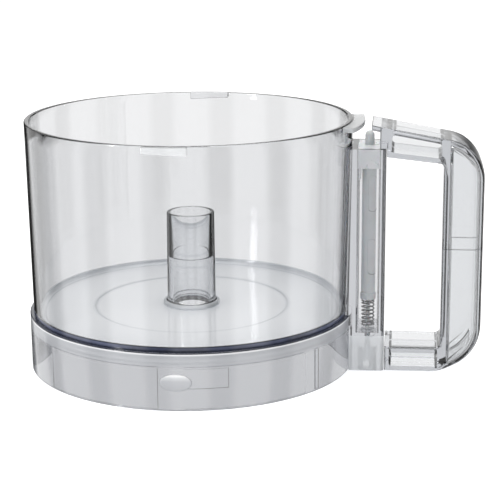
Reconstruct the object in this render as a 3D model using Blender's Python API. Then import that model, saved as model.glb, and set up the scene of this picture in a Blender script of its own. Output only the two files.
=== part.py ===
"""Clear work bowl of a food processor, with its loop handle and lid-lock push rod.

Metres, +Z up. The handle lies on the +X side of the bowl. The origin is the bottom centre of
the whole object's box, so the bowl's own axis stands at x = BOWL_X. Everything is drawn in the
bowl's own frame, where x is the distance from the bowl's axis towards the handle, y is the
distance across the handle and z is the height above the table.
"""
from math import cos, pi, radians, sin, sqrt, tau

import bmesh
import bpy

MM = 0.001
GAP = 0.3 * MM                      # clearance kept between pieces that touch or slide

# Bowl: wall and floor
RIM_Z = 146.0 * MM                  # height of the rim above the table
RIM_R = 95.0 * MM                   # outer radius at the rim
WALL_DRAFT = 1.7 * MM               # how much the outer radius shrinks from rim to floor
WALL = 2.8 * MM                     # wall thickness
RIM_ROUND = 0.7 * MM                # rounding along the rim
FLOOR_Z = 33.0 * MM                 # upper side of the floor
FLOOR_THICK = 4.0 * MM
FLOOR_FILLET = 3.0 * MM             # inside corner between wall and floor
FLOOR_RING_R = 57.2 * MM            # radius of the small step moulded in the floor
FLOOR_STEP = 0.5 * MM               # depth of that step

# Rim: two ramped locking lugs and one flat ear beside the handle
LUG_REACH = 3.3 * MM
LUG_ANGLES = (-90.0, 90.0)          # degrees round the bowl, 0 towards the handle
LUG_WIDTH = 14.5                    # degrees
LUG_THIN = 3.4 * MM                 # height of the lug where the lid runs on
LUG_THICK = 4.6 * MM                # height of the lug where the lid stops
EAR_REACH = 7.0 * MM
EAR_FROM = -19.0                    # degrees
EAR_TO = 10.0
EAR_THICK = 2.8 * MM
LUG_SINK = 0.2 * MM                 # lugs and ear lie this far below the rim

# Mounting skirt under the floor
SKIRT_STEP = 2.2 * MM               # skirt stands out from the foot of the wall by this
SKIRT_WALL = 3.1 * MM
SKIRT_EDGE = 0.6 * MM               # chamfer along the skirt's edges
LEDGE_THICK = 2.5 * MM              # inward ledge that carries the floor
LEDGE_REACH = 4.4 * MM
PAD_THICK = 1.2 * MM                # four bayonet pads inside the skirt
PAD_WIDTH = 45.0                    # degrees
PAD_STARTS = (-139.0, -85.0, 41.0, 95.0)
PAD_TOP_GAP = 2.0 * MM              # from the pads' top to the ledge
TRACK_STARTS = (-85.0, 95.0)        # pads with a locking track at their near end
TRACK_WIDTH = 15.0                  # degrees
TRACK_HEIGHT = 11.0 * MM
TRACK_ROOF = 1.2 * MM               # pad left standing above the track
STOP_RIB_ANGLES = (-34.0, 146.0)
STOP_RIB_WIDTH = 1.6                # degrees
THUMB_PAD_ANGLE = -87.7             # oval pad on the outside of the skirt, degrees
THUMB_PAD_WIDTH = 17.8 * MM
THUMB_PAD_HEIGHT = 9.7 * MM
THUMB_PAD_Z = 16.2 * MM
THUMB_PAD_PROUD = 0.4 * MM

# Centre tube for the blade shaft
TUBE_TOP_Z = 89.5 * MM
TUBE_FOOT_R = 14.4 * MM             # outer radius at the foot
TUBE_TOP_R = 13.95 * MM
BORE_TOP_R = 12.1 * MM
BORE_FOOT_R = 11.3 * MM
BORE_STEP_Z = 62.6 * MM             # small step inside the bore
BORE_STEP = 0.25 * MM
BEAD_R = 16.7 * MM                  # bead that seats the tube on the floor
BEAD_HEIGHT = 3.2 * MM
TUBE_TAIL = 3.0 * MM                # how far the tube reaches below the floor

# Push rod and its spring
ROD_TRAVEL = 6.0 * MM
ROD_R = 4.15 * MM
ROD_TIP_R = 2.7 * MM
ROD_TIP_SHOWS = ROD_TRAVEL + 2.1 * MM   # tip above the housing, still proud when pressed
ROD_FOOT_RIM = 0.45 * MM            # foot stands out from the body by this
ROD_FOOT_HEIGHT = 4.0 * MM
SPIGOT_R = 1.2 * MM
SPIGOT_LENGTH = 23.6 * MM           # from the rod's foot down
SPRING_INSET = 0.7 * MM             # spring's outside lies this far inside the rod's foot
SPRING_WIRE = 0.8 * MM
SPRING_LENGTH = 16.4 * MM
SPRING_TURNS = 8

# Rod housing between bowl and handle
HOUSING_DROP = 15.0 * MM            # top of the housing below the rim
HOUSING_HALF = 17.5 * MM            # half depth, across the handle
HOUSING_CORNER = 2.5 * MM
INNER_WALL = 2.2 * MM               # housing wall on the bowl's side
OUTER_WALL = 3.1 * MM               # housing wall on the handle's side
FRONT_WALL = 3.0 * MM
ROD_ROOM = 0.75 * MM                # air between the rod and the guide cap's leg
SEAT_Z = 22.3 * MM                  # spring seat, the bottom of the channel
POCKET_R = 5.5 * MM                 # switch pocket, open at the bottom
POCKET_DEPTH = 12.0 * MM
PANEL_COUNT = 3                     # stadium-shaped sunk panels in the front
PANEL_LENGTH = 21.0 * MM
PANEL_WIDTH = 4.9 * MM
PANEL_DEPTH = 1.0 * MM
PANEL_OFFSET = 2.3 * MM             # panels lie this far outside the rod's axis
PANEL_LOW_Z = 31.3 * MM             # middle of the lowest panel
PANEL_TOP_DROP = 25.4 * MM          # middle of the highest panel below the housing's top

# Guide cap in the top of the channel
CAP_HEIGHT = 11.4 * MM
CAP_TOP = 2.2 * MM
CAP_WALL = 1.6 * MM
CAP_BOSS_R = 4.6 * MM
CAP_LEG_HEIGHT = 8.0 * MM
CAP_LEG_THICK = 1.5 * MM
CAP_LEG_HALF = 7.0 * MM

# Loop handle
HANDLE_HALF = 17.0 * MM             # half depth
ARM_TOP_DROP = 1.2 * MM             # top of the upper arm below the rim, at its nose
CAM_GAP = 4.0 * MM                  # gap between the ear and the nose, for the lid's cam
NOSE_THICK = 3.0 * MM
ROOT_WIDTH = 3.7 * MM               # part of the upper arm that stands on the housing
ARM_SLOPE = 0.18                    # fall of the upper arm's top, per unit of reach
OPENING_SLOPE = 0.115               # fall of the opening's top edge
OPENING_WIDTH = 32.5 * MM           # finger room between housing and grip
ARM_DEPTH = 16.7 * MM               # upper arm, measured at the housing
LOWER_ARM_HEIGHT = 14.5 * MM
OPENING_CORNER = 2.5 * MM
GRIP_WIDTH = 23.3 * MM
TOP_CORNER_R = 24.0 * MM
BOTTOM_CORNER_R = 27.0 * MM
GRIP_ROUND = 7.0 * MM               # long edges of the grip, outer side
PALM_ROUND = 3.0 * MM               # long edges of the grip, inner side
ARM_ROUND = 1.4 * MM                # edges of the arms
ROOT_ROUND = 0.6 * MM
GRIP_WALL = 3.5 * MM
CAVITY_ROUND = 1.5 * MM
FLANGE = 3.2 * MM                   # arms are I-beams: flange thickness
WEB_HALF = 1.6 * MM
RECESS_END = 2.7 * MM               # wall between a recess and the arm's end
SEAM_Z = 73.6 * MM                  # joint of the handle's two halves

# Fineness of round shapes
BOWL_SEGMENTS = 80
TUBE_SEGMENTS = 40
ROD_SEGMENTS = 28
COIL_STEPS = 14
WIRE_SIDES = 6
ARC_STEPS = 8
EDGE_STEPS = 3                      # steps across one rounded edge

# Places that follow from the sizes above
WALL_FOOT_R = RIM_R - WALL_DRAFT
SKIRT_R = WALL_FOOT_R + SKIRT_STEP
SKIRT_INNER_R = SKIRT_R - SKIRT_WALL
FLOOR_UNDER_Z = FLOOR_Z - FLOOR_THICK
LEDGE_TOP_Z = FLOOR_UNDER_Z - GAP
LEDGE_UNDER_Z = LEDGE_TOP_Z - LEDGE_THICK
PAD_TOP_Z = LEDGE_UNDER_Z - PAD_TOP_GAP
TRACK_TOP_Z = PAD_TOP_Z - TRACK_ROOF
TUBE_HOLE_R = TUBE_FOOT_R + GAP
TUBE_SEAT_Z = FLOOR_Z - FLOOR_STEP + GAP
CHANNEL_IN = max(RIM_R, SKIRT_R) + GAP + INNER_WALL
CHANNEL_OUT = CHANNEL_IN + 2 * (GAP + CAP_LEG_THICK + ROD_ROOM + ROD_R)
CHANNEL_HALF = HOUSING_HALF - FRONT_WALL
ROD_X = (CHANNEL_IN + CHANNEL_OUT) / 2
HOUSING_OUT = CHANNEL_OUT + OUTER_WALL
HOUSING_TOP_Z = RIM_Z - HOUSING_DROP
CAP_UNDER_Z = HOUSING_TOP_Z - CAP_HEIGHT
ROD_FOOT_R = ROD_R + ROD_FOOT_RIM
SPRING_R = ROD_FOOT_R - SPRING_INSET
ROD_SHOULDER_Z = CAP_UNDER_Z - GAP
ROD_TIP_Z = HOUSING_TOP_Z + ROD_TIP_SHOWS
ROD_FOOT_Z = SEAT_Z + SPRING_LENGTH + 2 * GAP
NOSE_X = RIM_R + EAR_REACH + CAM_GAP
NOSE_Z = RIM_Z - ARM_TOP_DROP
ARM_X = HOUSING_OUT + GAP
PALM_X = HOUSING_OUT + OPENING_WIDTH
GRIP_X = PALM_X + GRIP_WIDTH
BOWL_X = (SKIRT_R - GRIP_X) / 2


def clear_scene():
    """Start from an empty scene."""
    for thing in list(bpy.data.objects):
        bpy.data.objects.remove(thing, do_unlink=True)


def plastic(name, colour, roughness, metallic=0.0, alpha=1.0):
    """A plain Principled material."""
    material = bpy.data.materials.new(name)
    material.use_nodes = True
    shader = material.node_tree.nodes["Principled BSDF"]
    shader.inputs["Base Color"].default_value = (*colour, 1.0)
    shader.inputs["Roughness"].default_value = roughness
    shader.inputs["Metallic"].default_value = metallic
    shader.inputs["Alpha"].default_value = alpha
    material.diffuse_color = (*colour, alpha)
    return material


def add_object(name, shape, parent, material=None):
    """Turn a bmesh into an object under a parent empty; round faces are shaded smooth."""
    bmesh.ops.recalc_face_normals(shape, faces=shape.faces)
    mesh = bpy.data.meshes.new(name)
    shape.to_mesh(mesh)
    shape.free()
    mesh.shade_smooth()
    mesh.set_sharp_from_angle(angle=radians(35))
    thing = bpy.data.objects.new(name, mesh)
    thing.parent = parent
    bpy.context.scene.collection.objects.link(thing)
    if material:
        mesh.materials.append(material)
    return thing


def add_empty(name, x, parent=None):
    """An empty that holds an axis at distance x from its parent."""
    empty = bpy.data.objects.new(name, None)
    empty.location.x = x
    empty.parent = parent
    bpy.context.scene.collection.objects.link(empty)
    return empty


def combine(target, tool, operation):
    """Cut a tool from the target, or join it on, with an exact Boolean."""
    tool.hide_render = True
    tool.display_type = "WIRE"
    modifier = target.modifiers.new(tool.name, "BOOLEAN")
    modifier.operation = operation
    modifier.solver = "EXACT"
    modifier.object = tool


def arc(cx, cz, radius, start, end, steps=ARC_STEPS):
    """Points on a circle from one angle to another, in degrees."""
    points = []
    for step in range(steps + 1):
        angle = radians(start + (end - start) * step / steps)
        points.append((cx + radius * cos(angle), cz + radius * sin(angle)))
    return points


def turned(outline, segments):
    """A closed (radius, height) outline turned about the z axis."""
    shape = bmesh.new()
    rings = []
    for step in range(segments):
        angle = tau * step / segments
        rings.append([shape.verts.new((r * cos(angle), r * sin(angle), z)) for r, z in outline])
    count = len(outline)
    for step in range(segments):
        here, there = rings[step], rings[(step + 1) % segments]
        for i in range(count):
            j = (i + 1) % count
            shape.faces.new((here[i], there[i], there[j], here[j]))
    bmesh.ops.remove_doubles(shape, verts=shape.verts, dist=1e-7)
    return shape


def add_curved_block(shape, radii, angles, low, high, step_degrees=3.0):
    """Add a block between two radii and two angles; low and high are heights at each end."""
    steps = max(1, round((angles[1] - angles[0]) / step_degrees))
    sections = []
    for step in range(steps + 1):
        share = step / steps
        angle = radians(angles[0] + (angles[1] - angles[0]) * share)
        z_low = low[0] + (low[1] - low[0]) * share
        z_high = high[0] + (high[1] - high[0]) * share
        corners = ((radii[0], z_low), (radii[1], z_low), (radii[1], z_high), (radii[0], z_high))
        sections.append([shape.verts.new((r * cos(angle), r * sin(angle), z)) for r, z in corners])
    for here, there in zip(sections, sections[1:]):
        for i in range(4):
            j = (i + 1) % 4
            shape.faces.new((here[i], here[j], there[j], there[i]))
    shape.faces.new(sections[0])
    shape.faces.new(reversed(sections[-1]))


def prism(outline, axis, start, end):
    """A flat outline extruded along y (an x-z outline) or z (an x-y outline)."""
    shape = bmesh.new()
    layers = []
    for level in (start, end):
        if axis == "y":
            layers.append([shape.verts.new((a, level, b)) for a, b in outline])
        else:
            layers.append([shape.verts.new((a, b, level)) for a, b in outline])
    count = len(outline)
    for i in range(count):
        j = (i + 1) % count
        shape.faces.new((layers[0][i], layers[0][j], layers[1][j], layers[1][i]))
    shape.faces.new(layers[0])
    shape.faces.new(reversed(layers[1]))
    return shape


def box(x_range, y_range, z_range):
    """A plain block."""
    corners = [(x_range[0], y_range[0]), (x_range[1], y_range[0])]
    corners += [(x_range[1], y_range[1]), (x_range[0], y_range[1])]
    return prism(corners, "z", *z_range)


def disc(x, radius, z_range, segments=ROD_SEGMENTS):
    """An upright round bar centred at distance x."""
    outline = [(x + radius * cos(tau * k / segments), radius * sin(tau * k / segments))
               for k in range(segments)]
    return prism(outline, "z", *z_range)


def inward_mitre(before, point, after):
    """Direction, scaled for the corner, that moves an anticlockwise outline inward by one."""
    first = (point[0] - before[0], point[1] - before[1])
    second = (after[0] - point[0], after[1] - point[1])
    normals = []
    for dx, dz in (first, second):
        length = sqrt(dx * dx + dz * dz)
        normals.append((-dz / length, dx / length))
    nx, nz = normals[0][0] + normals[1][0], normals[0][1] + normals[1][1]
    scale = 2.0 / (nx * nx + nz * nz)
    return nx * scale, nz * scale


def rounded_plate(outline, half):
    """A plate in the x-z plane whose two rims are rounded by each point's own radius.

    The outline runs anticlockwise as (x, z, rounding).
    """
    shape = bmesh.new()
    count = len(outline)
    quarter = [pi / 2 * k / EDGE_STEPS for k in range(EDGE_STEPS + 1)]
    turns = [(1, a) for a in reversed(quarter)] + [(-1, a) for a in quarter]
    layers = []
    for side, angle in turns:
        layer = []
        for i, (x, z, rounding) in enumerate(outline):
            mx, mz = inward_mitre(outline[i - 1], (x, z), outline[(i + 1) % count])
            inset = rounding * (1 - cos(angle))
            y = side * (half - rounding * (1 - sin(angle)))
            layer.append(shape.verts.new((x + mx * inset, y, z + mz * inset)))
        layers.append(layer)
    for here, there in zip(layers, layers[1:]):
        for i in range(count):
            j = (i + 1) % count
            shape.faces.new((here[i], here[j], there[j], there[i]))
    shape.faces.new(layers[0])
    shape.faces.new(reversed(layers[-1]))
    return shape


def bowl_outline():
    """Half-section of the wall and floor."""
    inner_foot = WALL_FOOT_R - WALL
    fillet = arc(inner_foot - FLOOR_FILLET, FLOOR_Z + FLOOR_FILLET, FLOOR_FILLET, 0, -90, 4)
    outside = [(TUBE_HOLE_R, FLOOR_UNDER_Z), (WALL_FOOT_R, FLOOR_UNDER_Z), (WALL_FOOT_R, FLOOR_Z),
               (RIM_R, RIM_Z - RIM_ROUND), (RIM_R - RIM_ROUND, RIM_Z)]
    inside = [(RIM_R - WALL + RIM_ROUND, RIM_Z), (RIM_R - WALL, RIM_Z - RIM_ROUND)]
    floor = [(FLOOR_RING_R + FLOOR_STEP / 2, FLOOR_Z),
             (FLOOR_RING_R - FLOOR_STEP / 2, FLOOR_Z - FLOOR_STEP),
             (TUBE_HOLE_R, FLOOR_Z - FLOOR_STEP)]
    return outside + inside + fillet + floor


def rim_lugs():
    """The two ramped lugs and the ear, each rooted in the wall."""
    shape = bmesh.new()
    root = RIM_R - WALL / 2
    top = RIM_Z - LUG_SINK
    for middle in LUG_ANGLES:
        angles = (middle - LUG_WIDTH / 2, middle + LUG_WIDTH / 2)
        add_curved_block(shape, (root, RIM_R + LUG_REACH), angles,
                         (top - LUG_THIN, top - LUG_THICK), (top, top))
    add_curved_block(shape, (root, RIM_R + EAR_REACH), (EAR_FROM, EAR_TO),
                     (top - EAR_THICK, top - EAR_THICK), (top, top))
    return shape


def make_bowl(frame, material):
    """Wall and floor with the rim's lugs."""
    bowl = add_object("bowl_body", turned(bowl_outline(), BOWL_SEGMENTS), frame, material)
    combine(bowl, add_object("rim_lug_blocks", rim_lugs(), frame), "UNION")


def skirt_outline():
    """Half-section of the mounting skirt: ring, lip round the floor and inward ledge."""
    lip_in = WALL_FOOT_R + GAP
    ledge_in = SKIRT_INNER_R - LEDGE_REACH
    return [(SKIRT_INNER_R, 0), (SKIRT_R - SKIRT_EDGE, 0), (SKIRT_R, SKIRT_EDGE),
            (SKIRT_R, FLOOR_Z - SKIRT_EDGE), (SKIRT_R - SKIRT_EDGE, FLOOR_Z), (lip_in, FLOOR_Z),
            (lip_in, LEDGE_TOP_Z), (ledge_in, LEDGE_TOP_Z), (ledge_in, LEDGE_UNDER_Z),
            (SKIRT_INNER_R - SKIRT_EDGE, LEDGE_UNDER_Z), (SKIRT_INNER_R, LEDGE_UNDER_Z - SKIRT_EDGE)]


def bayonet_pads():
    """Raised pads and stop ribs on the inside of the skirt."""
    shape = bmesh.new()
    radii = (SKIRT_INNER_R - PAD_THICK, SKIRT_INNER_R + SKIRT_WALL / 3)
    low, high = (SKIRT_EDGE, SKIRT_EDGE), (PAD_TOP_Z, PAD_TOP_Z)
    for start in PAD_STARTS:
        add_curved_block(shape, radii, (start, start + PAD_WIDTH), low, high, 4.5)
    for middle in STOP_RIB_ANGLES:
        angles = (middle - STOP_RIB_WIDTH / 2, middle + STOP_RIB_WIDTH / 2)
        add_curved_block(shape, radii, angles, low, high)
    return shape


def bayonet_tracks():
    """Cutters for the locking tracks in two of the pads."""
    shape = bmesh.new()
    radii = (SKIRT_INNER_R - 2 * PAD_THICK, SKIRT_INNER_R - GAP)
    for start in TRACK_STARTS:
        add_curved_block(shape, radii, (start - 1.0, start + TRACK_WIDTH),
                         (TRACK_TOP_Z - TRACK_HEIGHT,) * 2, (TRACK_TOP_Z,) * 2, 4.5)
    return shape


def thumb_pad():
    """A low oval pad standing radially on the outside of the skirt."""
    steps = 24
    angle = radians(THUMB_PAD_ANGLE)
    across = (-sin(angle), cos(angle))
    shape = bmesh.new()
    layers = []
    for radius in (SKIRT_R - SKIRT_WALL / 3, SKIRT_R + THUMB_PAD_PROUD):
        layer = []
        for k in range(steps):
            side = THUMB_PAD_WIDTH / 2 * cos(tau * k / steps)
            up = THUMB_PAD_HEIGHT / 2 * sin(tau * k / steps)
            depth = sqrt(radius * radius - side * side)
            layer.append(shape.verts.new((depth * cos(angle) + side * across[0],
                                          depth * sin(angle) + side * across[1],
                                          THUMB_PAD_Z + up)))
        layers.append(layer)
    for k in range(steps):
        j = (k + 1) % steps
        shape.faces.new((layers[0][k], layers[0][j], layers[1][j], layers[1][k]))
    for layer in layers:
        middle = shape.verts.new(sum((v.co for v in layer), layer[0].co * 0) / steps)
        for k in range(steps):
            shape.faces.new((layer[k], layer[(k + 1) % steps], middle))
    return shape


def make_skirt(frame, material):
    """The mounting skirt with its bayonet pads, tracks and oval thumb pad."""
    skirt = add_object("base_skirt", turned(skirt_outline(), BOWL_SEGMENTS), frame, material)
    combine(skirt, add_object("bayonet_pad_blocks", bayonet_pads(), frame), "UNION")
    combine(skirt, add_object("bayonet_track_cutters", bayonet_tracks(), frame), "DIFFERENCE")
    combine(skirt, add_object("thumb_pad_block", thumb_pad(), frame), "UNION")


def tube_outline():
    """Half-section of the centre tube, from its tail under the floor to its top."""
    tail_z = FLOOR_UNDER_Z - TUBE_TAIL
    bead_z = TUBE_SEAT_Z + BEAD_HEIGHT
    edge = BORE_STEP
    outside = [(TUBE_FOOT_R, tail_z), (TUBE_FOOT_R, TUBE_SEAT_Z), (BEAD_R, TUBE_SEAT_Z),
               (BEAD_R, TUBE_SEAT_Z + BEAD_HEIGHT / 2), (TUBE_FOOT_R, bead_z),
               (TUBE_TOP_R, TUBE_TOP_Z - edge), (TUBE_TOP_R - edge, TUBE_TOP_Z)]
    inside = [(BORE_TOP_R + edge, TUBE_TOP_Z), (BORE_TOP_R, TUBE_TOP_Z - edge),
              (BORE_TOP_R - BORE_STEP, BORE_STEP_Z + BORE_STEP),
              (BORE_TOP_R - 2 * BORE_STEP, BORE_STEP_Z), (BORE_FOOT_R, tail_z)]
    return outside + inside


def make_tube(frame, material):
    """The open centre tube."""
    add_object("centre_tube", turned(tube_outline(), TUBE_SEGMENTS), frame, material)


def bowl_clearance():
    """Cutter with the bowl's outside shape and the clearance round it."""
    outline = [(0, -10 * MM), (SKIRT_R + GAP, -10 * MM), (SKIRT_R + GAP, FLOOR_Z + GAP),
               (WALL_FOOT_R + GAP, FLOOR_Z + GAP), (RIM_R + GAP, RIM_Z), (0, RIM_Z)]
    return turned(outline, BOWL_SEGMENTS)


def housing_plan():
    """Plan of the housing, with its two outer edges rounded; the bowl cuts off the inner side."""
    x, y = HOUSING_OUT - HOUSING_CORNER, HOUSING_HALF - HOUSING_CORNER
    inner = WALL_FOOT_R / 2
    near = arc(x, -y, HOUSING_CORNER, -90, 0, 4)
    far = arc(x, y, HOUSING_CORNER, 0, 90, 4)
    return [(inner, -HOUSING_HALF)] + near + far + [(inner, HOUSING_HALF)]


def stadium(x, z, length, width):
    """An upright stadium outline."""
    half = (length - width) / 2
    top = arc(x, z + half, width / 2, 0, 180, 6)
    bottom = arc(x, z - half, width / 2, 180, 360, 6)
    return top + bottom


def make_housing(frame, material):
    """The upright housing that holds the push rod, its spring and the guide cap."""
    housing = add_object("rod_housing", prism(housing_plan(), "z", 0, HOUSING_TOP_Z), frame, material)
    combine(housing, add_object("bowl_clearance_cutter", bowl_clearance(), frame), "DIFFERENCE")
    channel = box((CHANNEL_IN, CHANNEL_OUT), (-CHANNEL_HALF, CHANNEL_HALF), (SEAT_Z, RIM_Z))
    combine(housing, add_object("channel_cutter", channel, frame), "DIFFERENCE")
    hole = disc(ROD_X, SPIGOT_R + 1.3 * GAP, (POCKET_DEPTH / 2, SEAT_Z + GAP))
    combine(housing, add_object("spigot_hole_cutter", hole, frame), "DIFFERENCE")
    pocket = disc(ROD_X, POCKET_R, (-POCKET_DEPTH, POCKET_DEPTH))
    combine(housing, add_object("switch_pocket_cutter", pocket, frame), "DIFFERENCE")
    top_z = HOUSING_TOP_Z - PANEL_TOP_DROP
    for k in range(PANEL_COUNT):
        z = PANEL_LOW_Z + (top_z - PANEL_LOW_Z) * k / (PANEL_COUNT - 1)
        outline = stadium(ROD_X + PANEL_OFFSET, z, PANEL_LENGTH, PANEL_WIDTH)
        panel = prism(outline, "y", -HOUSING_HALF - PANEL_DEPTH, -HOUSING_HALF + PANEL_DEPTH)
        combine(housing, add_object(f"panel_cutter_{k + 1}", panel, frame), "DIFFERENCE")


def make_cap(frame, material):
    """Guide cap: a plug hollow from below, a boss round the rod's tip and one snap leg."""
    x_range = (CHANNEL_IN + GAP, CHANNEL_OUT - GAP)
    half = CHANNEL_HALF - GAP
    plug = box(x_range, (-half, half), (CAP_UNDER_Z, HOUSING_TOP_Z))
    cap = add_object("rod_guide_cap", plug, frame, material)
    room = box((x_range[0] + CAP_WALL, x_range[1] - CAP_WALL), (CAP_WALL - half, half - CAP_WALL),
               (CAP_UNDER_Z - CAP_TOP, HOUSING_TOP_Z - CAP_TOP))
    combine(cap, add_object("cap_room_cutter", room, frame), "DIFFERENCE")
    boss = disc(ROD_X, CAP_BOSS_R, (CAP_UNDER_Z, HOUSING_TOP_Z - CAP_TOP / 2))
    combine(cap, add_object("cap_boss_block", boss, frame), "UNION")
    leg = box((x_range[0], x_range[0] + CAP_LEG_THICK), (-CAP_LEG_HALF, CAP_LEG_HALF),
              (CAP_UNDER_Z - CAP_LEG_HEIGHT, CAP_UNDER_Z + CAP_TOP))
    combine(cap, add_object("cap_leg_block", leg, frame), "UNION")
    hole = disc(ROD_X, ROD_TIP_R + GAP, (CAP_UNDER_Z - CAP_TOP, RIM_Z))
    combine(cap, add_object("cap_hole_cutter", hole, frame), "DIFFERENCE")


def rod_outline():
    """Half-section of the push rod: spigot, foot, body and domed tip."""
    chamfer = ROD_FOOT_RIM
    spigot_z = ROD_FOOT_Z - SPIGOT_LENGTH
    dome = arc(0, ROD_TIP_Z - ROD_TIP_R, ROD_TIP_R, 0, 90, 5)
    return [(0, spigot_z), (SPIGOT_R - GAP, spigot_z), (SPIGOT_R, spigot_z + GAP),
            (SPIGOT_R, ROD_FOOT_Z), (ROD_FOOT_R, ROD_FOOT_Z),
            (ROD_FOOT_R, ROD_FOOT_Z + ROD_FOOT_HEIGHT - chamfer),
            (ROD_R, ROD_FOOT_Z + ROD_FOOT_HEIGHT), (ROD_R, ROD_SHOULDER_Z - chamfer),
            (ROD_R - chamfer, ROD_SHOULDER_Z), (ROD_TIP_R, ROD_SHOULDER_Z)] + dome


def make_rod(rod_axis, material):
    """The push rod, turned about its own sliding axis."""
    add_object("push_rod", turned(rod_outline(), ROD_SEGMENTS), rod_axis, material)


def spring_centre_line():
    """Points along the wire: one dead turn at each end, open turns between."""
    low = SEAT_Z + GAP + SPRING_WIRE / 2
    length = SPRING_LENGTH - SPRING_WIRE
    dead_pitch = SPRING_WIRE * 1.2
    open_pitch = (length - 2 * dead_pitch) / (SPRING_TURNS - 2)
    radius = SPRING_R - SPRING_WIRE / 2
    points = []
    for step in range(SPRING_TURNS * COIL_STEPS + 1):
        turn = step / COIL_STEPS
        dead_low = min(turn, 1.0)
        dead_high = max(turn - (SPRING_TURNS - 1), 0.0)
        open_turns = turn - dead_low - dead_high
        z = low + dead_pitch * (dead_low + dead_high) + open_pitch * open_turns
        points.append((radius, tau * turn, z))
    return points


def make_spring(rod_axis, material):
    """Compression spring round the rod's spigot."""
    shape = bmesh.new()
    rings = []
    for radius, angle, z in spring_centre_line():
        ring = []
        for k in range(WIRE_SIDES):
            turn = tau * k / WIRE_SIDES
            r = radius + SPRING_WIRE / 2 * cos(turn)
            ring.append(shape.verts.new((r * cos(angle), r * sin(angle),
                                         z + SPRING_WIRE / 2 * sin(turn))))
        rings.append(ring)
    for here, there in zip(rings, rings[1:]):
        for k in range(WIRE_SIDES):
            j = (k + 1) % WIRE_SIDES
            shape.faces.new((here[k], here[j], there[j], there[k]))
    shape.faces.new(rings[0])
    shape.faces.new(reversed(rings[-1]))
    add_object("rod_spring", shape, rod_axis, material)


def arm_top_z(x):
    """Height of the upper arm's top at distance x."""
    return NOSE_Z - ARM_SLOPE * (x - NOSE_X)


def opening_top_z(x):
    """Height of the finger opening's top edge at distance x."""
    return arm_top_z(HOUSING_OUT) - ARM_DEPTH - OPENING_SLOPE * (x - HOUSING_OUT)


def top_corner_centre():
    """Centre of the outer top corner, tangent to the sloping arm and the grip."""
    x = GRIP_X - TOP_CORNER_R
    return x, arm_top_z(x) - TOP_CORNER_R * sqrt(1 + ARM_SLOPE * ARM_SLOPE)


def with_rounding(points, rounding):
    """Give every point of a run the same edge rounding."""
    return [(x, z, rounding) for x, z in points]


def handle_outline():
    """Side outline of the whole loop handle, anticlockwise, each point with its edge rounding."""
    cx, cz = top_corner_centre()
    slope = 90 - ARM_SLOPE / sqrt(1 + ARM_SLOPE * ARM_SLOPE) * 180 / pi
    bottom = arc(GRIP_X - BOTTOM_CORNER_R, BOTTOM_CORNER_R, BOTTOM_CORNER_R, -90, 0)
    top = arc(cx, cz, TOP_CORNER_R, 0, slope)
    points = [(ARM_X, 0, ARM_ROUND)]
    for k, (x, z) in enumerate(bottom):
        points.append((x, z, ARM_ROUND + (GRIP_ROUND - ARM_ROUND) * min(1, k / 2)))
    for k, (x, z) in enumerate(top):
        points.append((x, z, GRIP_ROUND + (ARM_ROUND - GRIP_ROUND) * min(1, k / 4)))
    nose_under = NOSE_Z - NOSE_THICK
    root_in = HOUSING_OUT - ROOT_WIDTH
    points += with_rounding([(NOSE_X, NOSE_Z), (NOSE_X, nose_under)], ARM_ROUND / 2)
    points += with_rounding([(root_in, nose_under - ARM_SLOPE * (root_in - NOSE_X)),
                             (root_in, HOUSING_TOP_Z + GAP), (ARM_X, HOUSING_TOP_Z + GAP)], ROOT_ROUND)
    points.append((ARM_X, opening_top_z(ARM_X), ARM_ROUND / 2))
    upper_z = opening_top_z(PALM_X - OPENING_CORNER) - OPENING_CORNER
    points += with_rounding(arc(PALM_X - OPENING_CORNER, upper_z, OPENING_CORNER, 90, 0, 3), PALM_ROUND / 2)
    points.append((PALM_X, upper_z - 2 * OPENING_CORNER, PALM_ROUND))
    lower_z = LOWER_ARM_HEIGHT + OPENING_CORNER
    points.append((PALM_X, lower_z + 2 * OPENING_CORNER, PALM_ROUND))
    points += with_rounding(arc(PALM_X - OPENING_CORNER, lower_z, OPENING_CORNER, 0, -90, 3), PALM_ROUND / 2)
    points.append((ARM_X, LOWER_ARM_HEIGHT, ARM_ROUND))
    return points


def cavity_outline():
    """Side outline of the hollow inside the grip, following its outer corners."""
    cx, cz = top_corner_centre()
    inner = PALM_X + GRIP_WALL
    top_r, bottom_r = TOP_CORNER_R - GRIP_WALL, BOTTOM_CORNER_R - GRIP_WALL
    bottom_x = GRIP_X - BOTTOM_CORNER_R
    top_rise = sqrt(top_r ** 2 - (inner - cx) ** 2)
    bottom_fall = sqrt(bottom_r ** 2 - (inner - bottom_x) ** 2)
    points = [(inner, BOTTOM_CORNER_R - bottom_fall)]
    for k in range(1, ARC_STEPS + 1):
        x = inner + (bottom_x + bottom_r - inner) * sin(pi / 2 * k / ARC_STEPS)
        points.append((x, BOTTOM_CORNER_R - sqrt(max(0, bottom_r ** 2 - (x - bottom_x) ** 2))))
    for k in range(ARC_STEPS, 0, -1):
        x = inner + (cx + top_r - inner) * sin(pi / 2 * k / ARC_STEPS)
        points.append((x, cz + sqrt(max(0, top_r ** 2 - (x - cx) ** 2))))
    points.append((inner, cz + top_rise))
    return with_rounding(points, CAVITY_ROUND)


def recess_outlines():
    """Outlines of the recesses that turn the two arms into I-beams."""
    start, end = ARM_X + RECESS_END, PALM_X - RECESS_END / 2
    lower = [(start, FLANGE), (end, FLANGE),
             (end, LOWER_ARM_HEIGHT - FLANGE), (start, LOWER_ARM_HEIGHT - FLANGE)]
    upper = [(start, opening_top_z(start) + FLANGE), (end, opening_top_z(end) + FLANGE),
             (end, arm_top_z(end) - FLANGE), (start, arm_top_z(start) - FLANGE)]
    return {"upper": upper, "lower": lower}


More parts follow.
